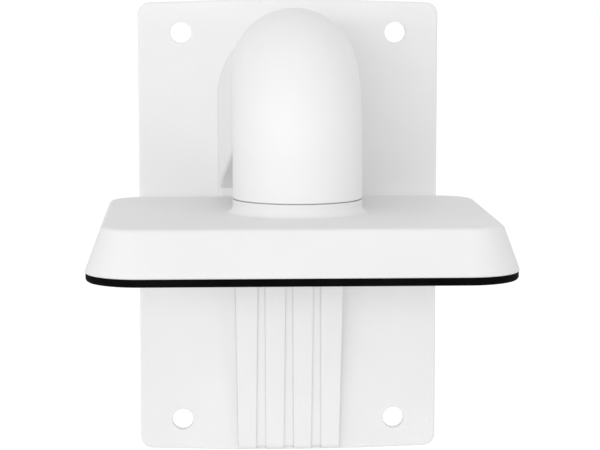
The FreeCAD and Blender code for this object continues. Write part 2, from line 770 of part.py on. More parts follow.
def make_arm_bores():
    """What is drilled and grooved in the arm: blind screw holes in the foot and the spine, the
    seal groove, and the cable hole and screw holes in the neck's floor."""
    blind = new_body("arm_screw_bores")
    blind.AllowCompound = True
    thread = "sizes.arm_screw_diameter + 2 * sizes.thread_clearance"
    bores = new_sketch(blind, "foot_bores", "XZ", PLATE_FRONT)
    for x, z in FOOT_SCREWS:
        circle(bores, x, z, thread)
    depth = f"sizes.arm_screw_length - {PLATE_FRONT} + sizes.screw_end_room"
    pad(blind, bores, depth)
    spine = new_body("spine_screw_bores")
    spine.AllowCompound = True
    bores = new_sketch(spine, "spine_bores", "XZ", PLATE_FRONT)
    for x, z in SPINE_SCREWS:
        circle(bores, x, z, thread)
    pad(spine, bores, f"sizes.spine_screw_length - {PLATE_FRONT} + sizes.screw_end_room")
    groove = make_seal_loop("foot_seal_groove", "0", "sizes.foot_seal_depth")
    joint = new_body("neck_bores", y=f"-{NECK_AXIS}", z=NECK_END)
    joint.AllowCompound = True
    bores = new_sketch(joint, "neck_bore_places", "XY")
    circle(bores, "0", "0", "sizes.joint_bore")
    for x, y in JOINT_SCREWS:
        circle(bores, x, y, "sizes.joint_screw_diameter + 2 * sizes.thread_clearance")
    pad(joint, bores, "sizes.neck_floor")
    return boolean("MultiFuse", "arm_bores", blind, spine, groove, joint)


def make_seal_loop(name, gap, depth):
    """A flat loop along the foot's rim: the groove, or the seal with a gap to the groove's walls."""
    body = new_body(name)
    sketch = new_sketch(body, name + "_outline", "XZ", PLATE_FRONT)
    for inset in (
        f"(sizes.foot_seal_inset + {gap})",
        f"(sizes.foot_seal_inset + sizes.foot_seal_width - {gap})",
    ):
        arch_outline(
            sketch,
            f"({FOOT_RADIUS} - {inset})",
            ARCH_HEIGHT,
            f"({FOOT_LOW} + {inset})",
            f"(sizes.foot_corner - {inset})",
        )
    pad(body, sketch, depth)
    return body


def make_arm_seal():
    """Flat seal in the foot's groove, pressed flush by the plate."""
    return make_seal_loop("arm_seal", "sizes.seal_side_gap", "sizes.foot_seal_depth")


def hexagon(sketch, across_flats):
    """A hexagon about the sketch's origin, given across its flats."""
    reach = f"(({across_flats}) / sqrt(3))"
    corners = [(f"{reach} * cos({turn} deg)", f"{reach} * sin({turn} deg)") for turn in TURNS]
    polygon(sketch, corners)


def turn_section(body, sketch, axis):
    """Turns a half section once round one of the sketch's own axes."""
    turned = body.newObject("PartDesign::Revolution", sketch.Name + "_turned")
    turned.Profile = sketch
    turned.ReferenceAxis = (sketch, [axis])
    turned.Angle = 360
    return turned


def make_arm_screws():
    """Countersunk socket screws that go through the plate from behind into the arm."""
    screws = []
    shank = "sizes.arm_screw_diameter / 2"
    head = "sizes.arm_screw_head / 2"
    top = "(-sizes.arm_screw_recess)"
    neck = f"({top} - (sizes.arm_screw_head - sizes.arm_screw_diameter) / 2)"
    rows = ((FOOT_SCREWS, "sizes.arm_screw_length"), (SPINE_SCREWS, "sizes.spine_screw_length"))
    for places, length in rows:
        for x, z in places:
            body = new_body(f"arm_screw_{len(screws) + 1}", x=x, z=z)
            section = new_sketch(body, body.Name + "_section", "YZ")
            end = f"({top} - {length})"
            corners = [(top, "0"), (top, head), (neck, shank), (end, shank), (end, "0")]
            polygon(section, corners)
            turn_section(body, section, "H_Axis")
            socket = new_sketch(body, body.Name + "_socket", "XZ", f"-{top}")
            hexagon(socket, "sizes.arm_screw_socket")
            pocket(body, socket, "sizes.arm_screw_socket_depth", reverse=True)
            screws.append(body)
    return group("arm_screws", screws)


def make_hood():
    """The hood casting: a low tapered cover with rounded corners, a collar that meets the neck,
    and bosses, ribs and a hub inside."""
    body = new_body("hood", y=f"-{NECK_AXIS}", z=NECK_END)
    outline = new_sketch(body, "hood_outline", "XY", HOOD_RIM)
    rounded_rectangle(outline, "sizes.hood_width", "sizes.hood_depth", "sizes.hood_corner")
    cover = pad(body, outline, "sizes.hood_height", slope="sizes.hood_slope")
    ring = new_sketch(body, "collar_outline", "XY")
    circle(ring, "0", "0", "sizes.neck_diameter")
    collar = pad(body, ring, "sizes.collar_height", reverse=True)
    top = number(HOOD_TOP)
    wide = number("sizes.neck_diameter + sizes.collar_round")
    rounded = round_edges(
        body,
        collar,
        "sizes.hood_top_round",
        lambda edge: lies_at(edge, "Z", top) and not inside(edge, wide),
    )
    rounded = round_edges(
        body,
        rounded,
        "sizes.collar_round",
        lambda edge: lies_at(edge, "Z", top) and inside(edge, wide),
    )
    rim = number(HOOD_RIM)
    round_edges(body, rounded, "sizes.hood_rim_round", lambda edge: lies_at(edge, "Z", rim))
    rebate = new_sketch(body, "joint_rebate", "XY")
    circle(rebate, "0", "0", "sizes.neck_diameter + 2 * sizes.joint_gap_depth")
    circle(rebate, "0", "0", "sizes.neck_diameter - 2 * sizes.joint_gap_depth")
    pocket(body, rebate, "sizes.joint_gap")
    cavity = new_sketch(body, "hood_cavity", "XY", HOOD_RIM)
    rim_loop(cavity, "sizes.hood_rim_land")
    pocket(
        body,
        cavity,
        "sizes.hood_height - sizes.hood_wall",
        reverse=True,
        slope="sizes.cavity_draft",
    )
    hub = new_sketch(body, "hood_hub", "XY", HOOD_CEILING)
    circle(hub, "0", "0", "sizes.hub_diameter")
    circle(hub, "0", "0", "sizes.hub_diameter - 2 * sizes.hub_wall")
    pad(body, hub, "sizes.hood_rib_height", reverse=True)
    boss = new_sketch(body, "camera_bosses", "XY", HOOD_CEILING)
    for x, y in CAMERA_HOLES:
        circle(boss, x, y, "sizes.camera_boss_diameter")
    boss_drop = "sizes.hood_height - sizes.hood_wall - sizes.camera_boss_setback"
    pad(body, boss, boss_drop, reverse=True)
    ribs = new_sketch(body, "hood_ribs", "XY", HOOD_CEILING)
    start = "((sizes.hub_diameter - sizes.hub_wall) / 2)"
    for x, y in CAMERA_HOLES:
        reach = f"sqrt(({x})^2 + ({y})^2)"
        start_x = f"({x} / {reach} * {start})"
        start_y = f"({y} / {reach} * {start})"
        side_x = f"({y} / {reach} * sizes.hood_rib_thickness / 2)"
        side_y = f"({x} / {reach} * sizes.hood_rib_thickness / 2)"
        corners = [
            (f"{start_x} - {side_x}", f"{start_y} + {side_y}"),
            (f"{start_x} + {side_x}", f"{start_y} - {side_y}"),
            (f"{x} + {side_x}", f"{y} - {side_y}"),
            (f"{x} - {side_x}", f"{y} + {side_y}"),
        ]
        polygon(ribs, corners)
    pad(body, ribs, "sizes.hood_rib_height", reverse=True)
    earth = new_sketch(body, "earth_boss", "XY", HOOD_CEILING)
    circle(earth, "sizes.earth_boss_x", "0", "sizes.earth_boss_diameter")
    pad(body, earth, "sizes.earth_boss_height", reverse=True)
    holes = new_sketch(body, "camera_holes", "XY", f"({HOOD_RIM} + sizes.camera_boss_setback)")
    for x, y in CAMERA_HOLES:
        circle(holes, x, y, "sizes.camera_hole_diameter")
    pocket(body, holes, "sizes.camera_hole_depth", reverse=True)
    earth = new_sketch(body, "earth_hole", "XY", f"({HOOD_CEILING} - sizes.earth_boss_height)")
    thread = "sizes.earth_screw_diameter + 2 * sizes.thread_clearance"
    circle(earth, "sizes.earth_boss_x", "0", thread)
    pocket(body, earth, "sizes.earth_screw_length", reverse=True)
    joint = new_sketch(body, "joint_holes", "XY")
    circle(joint, "0", "0", "sizes.joint_bore")
    for x, y in JOINT_SCREWS:
        circle(joint, x, y, "sizes.joint_screw_diameter + 2 * sizes.screw_clearance")
    pocket(body, joint, "sizes.collar_height + sizes.hood_wall")
    groove = new_sketch(body, "joint_seal_groove", "XY")
    width = "(sizes.joint_seal_cord + 2 * sizes.rubber_clearance)"
    circle(groove, "0", "0", f"sizes.joint_seal_circle + {width}")
    circle(groove, "0", "0", f"sizes.joint_seal_circle - {width}")
    pocket(body, groove, "sizes.joint_seal_cord")
    slot = new_sketch(body, "rim_groove", "XY", HOOD_RIM)
    rim_loop(slot, "(sizes.seal_tongue_inset - sizes.seal_side_gap)")
    rim_loop(slot, "(sizes.seal_tongue_inset + sizes.seal_tongue_width + sizes.seal_side_gap)")
    pocket(body, slot, "sizes.seal_tongue_height + sizes.rubber_clearance", reverse=True)
    return body


def inside(edge, across):
    """True for an edge whose box is no wider than the given size."""
    return edge.BoundBox.XLength < across and edge.BoundBox.YLength < across


def rim_loop(sketch, inset):
    """The hood's outline at the rim, drawn in by an inset."""
    rounded_rectangle(
        sketch,
        f"(sizes.hood_width - 2 * {inset})",
        f"(sizes.hood_depth - 2 * {inset})",
        f"(sizes.hood_corner - {inset})",
    )


def make_hood_seal():
    """Rubber seal on the hood's rim, held by a tongue in the rim's groove."""
    body = new_body("hood_seal", y=f"-{NECK_AXIS}", z=NECK_END)
    lip = new_sketch(body, "seal_outline", "XY", HOOD_RIM)
    rim_loop(lip, "sizes.seal_inset")
    rim_loop(lip, "(sizes.seal_inset + sizes.seal_land)")
    band = pad(body, lip, "sizes.seal_thickness", reverse=True)
    foot = number(f"{HOOD_RIM} - sizes.seal_thickness")
    round_edges(
        body,
        band,
        "sizes.seal_edge_round",
        lambda edge: lies_at(edge, "Z", foot) and outermost(edge),
    )
    tongue = new_sketch(body, "seal_tongue", "XY", HOOD_RIM)
    rim_loop(tongue, "sizes.seal_tongue_inset")
    rim_loop(tongue, "(sizes.seal_tongue_inset + sizes.seal_tongue_width)")
    pad(body, tongue, "sizes.seal_tongue_height")
    return body


def outermost(edge):
    """True for an edge of the seal's outer outline."""
    middle = edge.Curve.value((edge.FirstParameter + edge.LastParameter) / 2)
    half_x = number("sizes.hood_width / 2 - sizes.seal_inset")
    half_y = number("sizes.hood_depth / 2 - sizes.seal_inset")
    corner = number("sizes.hood_corner - sizes.seal_inset")
    along_x = abs(middle.x) - (half_x - corner)
    along_y = abs(middle.y) - (half_y - corner)
    reach = math.hypot(max(along_x, 0), max(along_y, 0))
    return abs(reach - corner) < number("sizes.seal_land / 2")


def make_joint_seal():
    """O-ring in the collar's groove, against the neck's end."""
    ring = doc.addObject("Part::Torus", "joint_seal")
    ring.Label = "joint_seal"
    ring.setExpression("Radius1", "sizes.joint_seal_circle / 2")
    ring.setExpression("Radius2", "sizes.joint_seal_cord / 2")
    ring.setExpression("Placement.Base.y", f"-{NECK_AXIS}")
    ring.setExpression("Placement.Base.z", f"{NECK_END} - sizes.joint_seal_cord / 2")
    return ring


def make_hood_screws():
    """Socket screws from inside the hood into the neck's end."""
    screws = []
    seat = f"({HOOD_CEILING} - sizes.washer_thickness)"
    base = f"({seat} - sizes.joint_screw_head_height)"
    tip = "sizes.joint_screw_bite"
    shank = "sizes.joint_screw_diameter / 2"
    head = "sizes.joint_screw_head / 2"
    for x, y in JOINT_SCREWS:
        body = new_body(f"hood_screw_{len(screws) + 1}", x, f"-{NECK_AXIS} + {y}", NECK_END)
        section = new_sketch(body, body.Name + "_section", "XZ")
        corners = [("0", base), (head, base), (head, seat), (shank, seat), (shank, tip), ("0", tip)]
        polygon(section, corners)
        turn_section(body, section, "V_Axis")
        socket = new_sketch(body, body.Name + "_socket", "XY", base)
        hexagon(socket, "sizes.joint_screw_socket")
        pocket(body, socket, "sizes.joint_screw_socket_depth", reverse=True)
        screws.append(body)
    return group("hood_screws", screws)


def make_hood_washers():
    """Spring washers under the heads of the hood's screws."""
    washers = []
    for x, y in JOINT_SCREWS:
        body = new_body(f"hood_washer_{len(washers) + 1}", x, f"-{NECK_AXIS} + {y}", NECK_END)
        ring = new_sketch(body, body.Name + "_ring", "XY", HOOD_CEILING)
        circle(ring, "0", "0", "sizes.washer_diameter")
        circle(ring, "0", "0", "sizes.joint_screw_diameter + 2 * sizes.washer_play")
        pad(body, ring, "sizes.washer_thickness", reverse=True)
        slit = new_sketch(body, body.Name + "_slit", "XY", HOOD_CEILING)
        half = "(sizes.washer_slit / 2)"
        corners = [
            ("0", f"-{half}"),
            ("sizes.washer_diameter", f"-{half}"),
            ("sizes.washer_diameter", half),
            ("0", half),
        ]
        polygon(slit, corners)
        pocket(body, slit, "sizes.washer_thickness")
        washers.append(body)
    return group("hood_washers", washers)


def make_cable_bush():
    """Rubber edge guard that lines the joint's cable hole and grips it between two lips."""
    body = new_body("cable_bush", y=f"-{NECK_AXIS}", z=NECK_END)
    section = new_sketch(body, "bush_section", "XZ")
    outer = "(sizes.joint_bore / 2 - sizes.rubber_clearance)"
    inner = f"({outer} - sizes.bush_wall)"
    lip = "(sizes.joint_bore / 2 + sizes.bush_lip)"
    top = "(sizes.neck_floor + sizes.seal_side_gap)"
    low = f"({HOOD_CEILING} - sizes.seal_side_gap)"
    crown = f"({top} + sizes.bush_lip_thickness)"
    foot = f"({low} - sizes.bush_lip_thickness)"
    corners = [
        (inner, foot),
        (lip, foot),
        (lip, low),
        (outer, low),
        (outer, top),
        (lip, top),
        (lip, crown),
        (inner, crown),
    ]
    polygon(section, corners)
    turn_section(body, section, "V_Axis")
    return body


def make_earth_screw():
    """Slotted screw of the earth connection, in its boss inside the hood."""
    body = new_body("earth_screw", "sizes.earth_boss_x", f"-{NECK_AXIS}", NECK_END)
    section = new_sketch(body, "earth_screw_section", "XZ")
    seat = f"({HOOD_CEILING} - sizes.earth_boss_height - sizes.earth_washer_thickness)"
    base = f"({seat} - sizes.earth_screw_head_height)"
    tip = f"({seat} + sizes.earth_screw_length)"
    shank = "sizes.earth_screw_diameter / 2"
    head = "sizes.earth_screw_head / 2"
    corners = [("0", base), (head, base), (head, seat), (shank, seat), (shank, tip), ("0", tip)]
    polygon(section, corners)
    turn_section(body, section, "V_Axis")
    slot = new_sketch(body, "earth_screw_slot", "XY", base)
    half = "(sizes.earth_screw_slot / 2)"
    corners = [
        (f"-{head}", f"-{half}"),
        (head, f"-{half}"),
        (head, half),
        (f"-{head}", half),
    ]
    polygon(slot, corners)
    pocket(body, slot, "sizes.earth_screw_slot_depth", reverse=True)
    return body


def make_earth_washer():
    """Toothed washer under the earth screw."""
    body = new_body("earth_washer", "sizes.earth_boss_x", f"-{NECK_AXIS}", NECK_END)
    seat = f"({HOOD_CEILING} - sizes.earth_boss_height)"
    ring = new_sketch(body, "earth_washer_ring", "XY", seat)
    rim = "(sizes.earth_washer_diameter - 2 * sizes.earth_washer_tooth)"
    circle(ring, "0", "0", rim)
    circle(ring, "0", "0", "sizes.earth_screw_diameter + 2 * sizes.washer_play")
    pad(body, ring, "sizes.earth_washer_thickness", reverse=True)
    tooth = new_sketch(body, "earth_washer_tooth", "XY", seat)
    half = "(sizes.earth_washer_tooth / 2)"
    tip = "sizes.earth_washer_diameter / 2"
    root = f"({rim} / 2 - sizes.earth_washer_tooth / 2)"
    corners = [(root, f"-{half}"), (tip, f"-{half}"), (tip, half), (root, half)]
    polygon(tooth, corners)
    teeth = pad(body, tooth, "sizes.earth_washer_thickness", reverse=True)
    row = body.newObject("PartDesign::PolarPattern", "earth_washer_teeth")
    row.Originals = [teeth]
    row.Axis = (tooth, ["N_Axis"])
    row.Angle = 360
    row.setExpression("Occurrences", "sizes.earth_washer_teeth")
    body.Tip = row
    return body


sub_parts = [
    make_wall_plate(),
    make_wall_seal(),
    make_cable_grommet(),
    make_arm(),
    make_arm_seal(),
    make_arm_screws(),
    make_hood(),
    make_hood_seal(),
    make_joint_seal(),
    make_hood_screws(),
    make_hood_washers(),
    make_cable_bush(),
    make_earth_screw(),
    make_earth_washer(),
]
doc.recompute()

for item in doc.Objects:
    if "Invalid" in item.State or "Error" in item.State:
        raise RuntimeError(f"{item.Label} did not recompute")
os.makedirs("parts", exist_ok=True)
for part in sub_parts:
    if part.Shape.isNull() or not part.Shape.isValid():
        raise RuntimeError(f"{part.Label} has no valid shape")
    part.Shape.exportStep(f"parts/{part.Label}.step")
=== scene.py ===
import math

import bpy
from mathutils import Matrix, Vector


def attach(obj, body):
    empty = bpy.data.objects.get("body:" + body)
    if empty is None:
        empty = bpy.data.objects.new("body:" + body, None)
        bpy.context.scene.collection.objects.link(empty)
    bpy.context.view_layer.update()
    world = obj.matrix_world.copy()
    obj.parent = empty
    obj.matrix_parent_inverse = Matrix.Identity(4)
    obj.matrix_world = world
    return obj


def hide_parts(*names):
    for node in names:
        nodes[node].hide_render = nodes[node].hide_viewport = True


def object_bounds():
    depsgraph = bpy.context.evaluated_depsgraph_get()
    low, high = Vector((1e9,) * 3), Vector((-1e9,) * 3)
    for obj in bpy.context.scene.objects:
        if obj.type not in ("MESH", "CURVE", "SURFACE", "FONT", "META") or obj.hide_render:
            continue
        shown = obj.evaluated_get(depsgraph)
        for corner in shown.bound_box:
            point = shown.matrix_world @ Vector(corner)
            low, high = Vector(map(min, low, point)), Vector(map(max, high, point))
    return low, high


# Camera wall bracket: white powder-coated castings on a wall plate, black rubber
# seals, plain steel screws. Metres, in the frame of the CAD model: X right, -Y out
# of the wall, +Z up.

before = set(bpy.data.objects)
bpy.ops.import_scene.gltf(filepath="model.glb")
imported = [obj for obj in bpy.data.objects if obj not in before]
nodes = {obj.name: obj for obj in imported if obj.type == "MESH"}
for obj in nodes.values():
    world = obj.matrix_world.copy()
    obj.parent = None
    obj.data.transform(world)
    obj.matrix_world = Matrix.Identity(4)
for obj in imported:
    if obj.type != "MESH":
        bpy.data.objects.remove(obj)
cad_box = [list(corner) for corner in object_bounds()]

MM = 0.001
# Range of the noise values over which a blend of colours or of numbers runs
COLOUR_FROM, COLOUR_TO = 0.35, 0.65
NUMBER_FROM, NUMBER_TO = 0.3, 0.7
# Painted shade in the coat's crevices: how far ambient occlusion looks for walls, the darkest
# share of the colour it leaves, and the openness at which the painted shade is full and at
# which it ends
CREVICE_SHADE_DEPTH = 1.6 * MM
CREVICE_SHADE_DARKEST = 0.66
CREVICE_SHADE_FULL, CREVICE_SHADE_END = 0.45, 0.68
# Fine mending of meshes
WELD_DISTANCE = 0.002 * MM
MERGE_DISTANCE = 0.001 * MM
FLAT_ANGLE = math.radians(0.3)
RUBBER_EDGE = 0.15 * MM
# Angle between faces above which the edge of a grown piece stays sharp
GROWN_CREASE = math.radians(32)
# How far a cutting tool reaches past what it cuts
OVERSHOOT = 1.0 * MM


def new_object(name, data):
    """An object with its data, in the scene."""
    made = bpy.data.objects.new(name, data)
    bpy.context.scene.collection.objects.link(made)
    return made


# Shader building

def shader_node(tree, kind, **settings):
    """A node of a material's tree, with its properties set by name."""
    node = tree.nodes.new(kind)
    for name, value in settings.items():
        setattr(node, name, value)
    return node


def plug(tree, socket, value):
    """Links an output to an input, or sets the input to a plain value."""
    if isinstance(value, bpy.types.NodeSocket):
        tree.links.new(value, socket)
    else:
        socket.default_value = value


def noise(tree, scale, detail, stretch=(1, 1, 1)):
    """Noise in the object's own space, with about `scale` lumps to the metre."""
    place = shader_node(tree, "ShaderNodeTexCoord")
    mapping = shader_node(tree, "ShaderNodeMapping")
    mapping.inputs["Scale"].default_value = stretch
    tree.links.new(place.outputs["Object"], mapping.inputs["Vector"])
    node = shader_node(tree, "ShaderNodeTexNoise")
    tree.links.new(mapping.outputs["Vector"], node.inputs["Vector"])
    node.inputs["Scale"].default_value = scale
    node.inputs["Detail"].default_value = detail
    return node.outputs["Fac"]


def blend_colours(tree, factor, low, high):
    """Runs from one colour to another as the factor rises."""
    ramp = shader_node(tree, "ShaderNodeValToRGB")
    ramp.color_ramp.elements[0].position = COLOUR_FROM
    ramp.color_ramp.elements[0].color = (*low, 1)
    ramp.color_ramp.elements[1].position = COLOUR_TO
    ramp.color_ramp.elements[1].color = (*high, 1)
    tree.links.new(factor, ramp.inputs["Fac"])
    return ramp.outputs["Color"]


def spread(tree, factor, low, high):
    """Maps a factor round 0.5 to a range of plain numbers."""
    node = shader_node(tree, "ShaderNodeMapRange")
    tree.links.new(factor, node.inputs["Value"])
    node.inputs["From Min"].default_value = NUMBER_FROM
    node.inputs["From Max"].default_value = NUMBER_TO
    node.inputs["To Min"].default_value = low
    node.inputs["To Max"].default_value = high
    return node.outputs["Result"]


def bumps(tree, height, depth, under=None):
    """A bump of a given depth in metres, on top of another bump if one is given."""
    node = shader_node(tree, "ShaderNodeBump")
    tree.links.new(height, node.inputs["Height"])
    node.inputs["Distance"].default_value = depth
    if under is not None:
        tree.links.new(under, node.inputs["Normal"])
    return node.outputs["Normal"]


def surface(name, colour, roughness, normal, **plain):
    """A material of one Principled shader. Colour, roughness and normal are functions that
    build their part of its tree, and plain values go straight to its sockets."""
    material = bpy.data.materials.new(name)
    material.use_nodes = True
    tree = material.node_tree
    shader = tree.nodes["Principled BSDF"]
    tree.links.new(colour(tree), shader.inputs["Base Color"])
    tree.links.new(roughness(tree), shader.inputs["Roughness"])
    tree.links.new(normal(tree), shader.inputs["Normal"])
    for socket, value in plain.items():
        shader.inputs[socket.replace("_", " ")].default_value = value
    return material


def painted_crevice_shade(tree, colour):
    """Darkens a colour with painted shade where walls meet, as in a casting's grooves and along
    its seams.
    """
    hollow = shader_node(tree, "ShaderNodeAmbientOcclusion", samples=8)
    hollow.inputs["Distance"].default_value = CREVICE_SHADE_DEPTH
    tone = shader_node(tree, "ShaderNodeMapRange", interpolation_type="SMOOTHSTEP")
    tree.links.new(hollow.outputs["AO"], tone.inputs["Value"])
    tone.inputs["From Min"].default_value = CREVICE_SHADE_FULL
    tone.inputs["From Max"].default_value = CREVICE_SHADE_END
    tone.inputs["To Min"].default_value = CREVICE_SHADE_DARKEST
    # Painted shade: the colour is scaled down where walls stand close
    shaded = shader_node(tree, "ShaderNodeVectorMath", operation="SCALE")
    tree.links.new(colour, shaded.inputs[0])
    tree.links.new(tone.outputs["Result"], shaded.inputs["Scale"])
    return shaded.outputs["Vector"]


def powder_coat(name, white, shade, peel, lumps):
    """White satin powder coat with painted shade in its crevices: faint orange peel over the
    slow waves of what it covers.
    """
    return surface(
        name,
        lambda tree: painted_crevice_shade(
            tree, blend_colours(tree, noise(tree, scale=14, detail=3), shade, white)
        ),
        lambda tree: spread(tree, noise(tree, scale=90, detail=3), low=0.48, high=0.58),
        lambda tree: bumps(
            tree,
            noise(tree, scale=peel, detail=2),
            depth=0.03 * MM,
            under=bumps(tree, noise(tree, scale=lumps, detail=1), depth=0.02 * MM),
        ),
        IOR=1.5,
        Specular_IOR_Level=0.4,
    )


# The coat's two near-white tones, and the same a little darker on the hood: painted shade,
# standing for less light on the hood
WHITE = (0.87, 0.868, 0.87)
SHADE = (0.846, 0.845, 0.852)
HOOD_WHITE_SHADED = (0.83, 0.828, 0.83)
HOOD_GREY_SHADED = (0.806, 0.805, 0.812)
cast_coat = powder_coat("white_coat_on_arm", WHITE, SHADE, peel=700, lumps=55)
# Painted shade: the hood's coat is the arm's white coat made darker
shaded_hood_coat = powder_coat("white_coat_on_hood_painted_darker", HOOD_WHITE_SHADED, HOOD_GREY_SHADED, peel=700, lumps=45)
plate_coat = powder_coat("white_coat_on_plate", WHITE, SHADE, peel=900, lumps=25)


def black_rubber(name, dark, light, gloss):
    """Moulded black rubber with a fine grain. The gloss is its specular level."""
    return surface(
        name,
        lambda tree: blend_colours(tree, noise(tree, scale=60, detail=4), dark, light),
        lambda tree: spread(tree, noise(tree, scale=160, detail=3), low=0.5, high=0.66),
        lambda tree: bumps(tree, noise(tree, scale=1500, detail=2), depth=0.03 * MM),
        Specular_IOR_Level=gloss,
    )


rim_rubber = black_rubber(
    "matt_rim_rubber", dark=(0.002, 0.002, 0.0023), light=(0.004, 0.004, 0.0044), gloss=0.02
)
cable_rubber = black_rubber(
    "cable_passage_rubber", dark=(0.009, 0.009, 0.0095), light=(0.018, 0.018, 0.019), gloss=0.35
)
screw_steel = surface(
    "plain_screw_steel",
    lambda tree: blend_colours(
        tree, noise(tree, scale=220, detail=3), (0.5, 0.5, 0.51), (0.62, 0.62, 0.63)
    ),
    lambda tree: spread(
        tree, noise(tree, scale=900, detail=2, stretch=(1, 1, 6)), low=0.26, high=0.4
    ),
    lambda tree: bumps(
        tree, noise(tree, scale=1200, detail=1, stretch=(1, 1, 8)), depth=0.01 * MM
    ),
    Metallic=1.0,
)

NODE_FINISH = {
    "wall_plate": plate_coat,
    "arm": cast_coat,
    "hood": shaded_hood_coat,
    "wall_seal": cable_rubber,
    "cable_grommet": cable_rubber,
    "arm_seal": cable_rubber,
    "hood_seal": rim_rubber,
    "joint_seal": cable_rubber,
    "cable_bush": cable_rubber,
    "arm_screws": screw_steel,
    "hood_screws": screw_steel,
    "hood_washers": screw_steel,
    "earth_screw": screw_steel,
    "earth_washer": screw_steel,
}
for name, finish in NODE_FINISH.items():
    mesh = nodes[name].data
    mesh.materials.clear()
    mesh.materials.append(finish)


# Plain meshes

def flatten(obj):
    """Turns an object's modifiers into plain mesh and removes them."""
    depsgraph = bpy.context.evaluated_depsgraph_get()
    made = bpy.data.meshes.new_from_object(
        obj.evaluated_get(depsgraph), preserve_all_data_layers=True, depsgraph=depsgraph
    )
    obj.modifiers.clear()
    made.name = obj.name
    obj.data = made


def even_shading(obj):
    """Gives large faces their say in the smooth shading, so that flats stay flat."""
    even = obj.modifiers.new("even", "WEIGHTED_NORMAL")
    even.mode = "FACE_AREA"
    even.weight = 90
    even.keep_sharp = True
    flatten(obj)


# Smooth skins over the CAD nodes

def smooth_skin(node, crease=28, rounding=0.0):
    """A welded copy of a CAD node with smooth shading between its creases, given in degrees,
    and finely rounded edges where asked for. It stands for that node."""
    mesh = nodes[node].data.copy()
    mesh.name = node + "_skin"
    skin = new_object(node + "_skin", mesh)
    weld = skin.modifiers.new("weld", "WELD")
    weld.merge_threshold = WELD_DISTANCE
    flat = skin.modifiers.new("flat", "DECIMATE")
    flat.decimate_type = "DISSOLVE"
    flat.angle_limit = FLAT_ANGLE
    flatten(skin)
    skin.data.shade_smooth()
    skin.data.set_sharp_from_angle(angle=math.radians(crease))
    if rounding:
        soft = skin.modifiers.new("edge", "BEVEL")
        soft.width = rounding
        soft.segments = 2
        soft.limit_method = "ANGLE"
        soft.angle_limit = math.radians(crease)
        soft.use_clamp_overlap = True
        soft.harden_normals = True
        flatten(skin)
    even_shading(skin)
    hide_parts(node)
    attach(skin, "root")


smooth_skin("arm")
smooth_skin("hood")
for rubber_ring in ("wall_seal", "cable_grommet", "arm_seal", "joint_seal", "cable_bush"):
    smooth_skin(rubber_ring, crease=35, rounding=RUBBER_EDGE)


# Geometry trees

def shape_step(tree, kind, inputs, **settings):
    """A geometry node with its inputs linked or set. Returns its first output."""
    node = shader_node(tree, "GeometryNode" + kind, **settings)
    for name, value in inputs.items():
        plug(tree, node.inputs[name], value)
    return node.outputs[0]


def calc(tree, operation, *values):
    """The result of a Math node on numbers of a tree."""
    node = shader_node(tree, "ShaderNodeMath", operation=operation)
    for place, value in enumerate(values):
        plug(tree, node.inputs[place], value)
    return node.outputs[0]


def half(tree, value):
    """Half of a number of a tree."""
    return calc(tree, "MULTIPLY", value, 0.5)


def minus(tree, value):
    """A number of a tree with its sign turned."""
    return calc(tree, "MULTIPLY", value, -1.0)


def point(tree, x=0.0, y=0.0, z=0.0):
    """A vector made of three numbers of a tree."""
    node = shader_node(tree, "ShaderNodeCombineXYZ")
    for place, value in enumerate((x, y, z)):
        plug(tree, node.inputs[place], value)
    return node.outputs[0]


def joined(tree, *parts):
    """Several geometries as one."""
    node = shader_node(tree, "GeometryNodeJoinGeometry")
    for part in parts:
        tree.links.new(part, node.inputs[0])
    return node.outputs[0]


def moved(tree, geometry, *place):
    """A geometry shifted to a place."""
    return shape_step(
        tree, "Transform", {"Geometry": geometry, "Translation": point(tree, *place)}
    )


def set_out(tree, places, piece):
    """A copy of a piece on each loose point."""
    return shape_step(tree, "InstanceOnPoints", {"Points": places, "Instance": piece})


def new_tree(name, sizes):
    """An empty geometry tree with a number input for each size. Returns it and its inputs."""
    tree = bpy.data.node_groups.new(name, "GeometryNodeTree")
    tree.interface.new_socket("Geometry", in_out="INPUT", socket_type="NodeSocketGeometry")
    for label in sizes:
        tree.interface.new_socket(label, in_out="INPUT", socket_type="NodeSocketFloat")
    tree.interface.new_socket("Geometry", in_out="OUTPUT", socket_type="NodeSocketGeometry")
    return tree, tree.nodes.new("NodeGroupInput").outputs


def close_tree(tree, geometry, finish):
    """Ends a tree in real geometry with its material. Returns the tree."""
    real = shape_step(tree, "RealizeInstances", {"Geometry": geometry})
    done = shape_step(tree, "SetMaterial", {"Geometry": real, "Material": finish})
    tree.links.new(done, tree.nodes.new("NodeGroupOutput").inputs[0])
    return tree


def by_number(tree, kind, choices):
    """Gives each point of a curve its own value, by the point's number."""
    node = shader_node(tree, "GeometryNodeIndexSwitch", data_type=kind)
    while len(node.index_switch_items) < len(choices):
        node.index_switch_items.new()
    tree.links.new(tree.nodes.new("GeometryNodeInputIndex").outputs[0], node.inputs[0])
    for place, value in enumerate(choices):
        plug(tree, node.inputs[place + 1], value)
    return node.outputs[0]


def outline(tree, corners, rounds, closed=True, steps=4):
    """A profile through its corners, each with its own rounding."""
    ring = shape_step(tree, "CurvePrimitiveCircle", {"Resolution": len(corners)})
    opened = shape_step(tree, "SetSplineCyclic", {"Geometry": ring, "Cyclic": closed})
    places = by_number(tree, "VECTOR", [point(tree, *corner) for corner in corners])
    shaped = shape_step(tree, "SetPosition", {"Geometry": opened, "Position": places})
    return shape_step(
        tree,
        "FilletCurve",
        {
            "Curve": shaped,
            "Radius": by_number(tree, "FLOAT", rounds),
            "Count": steps,
            "Limit Radius": True,
        },
        mode="POLY",
    )


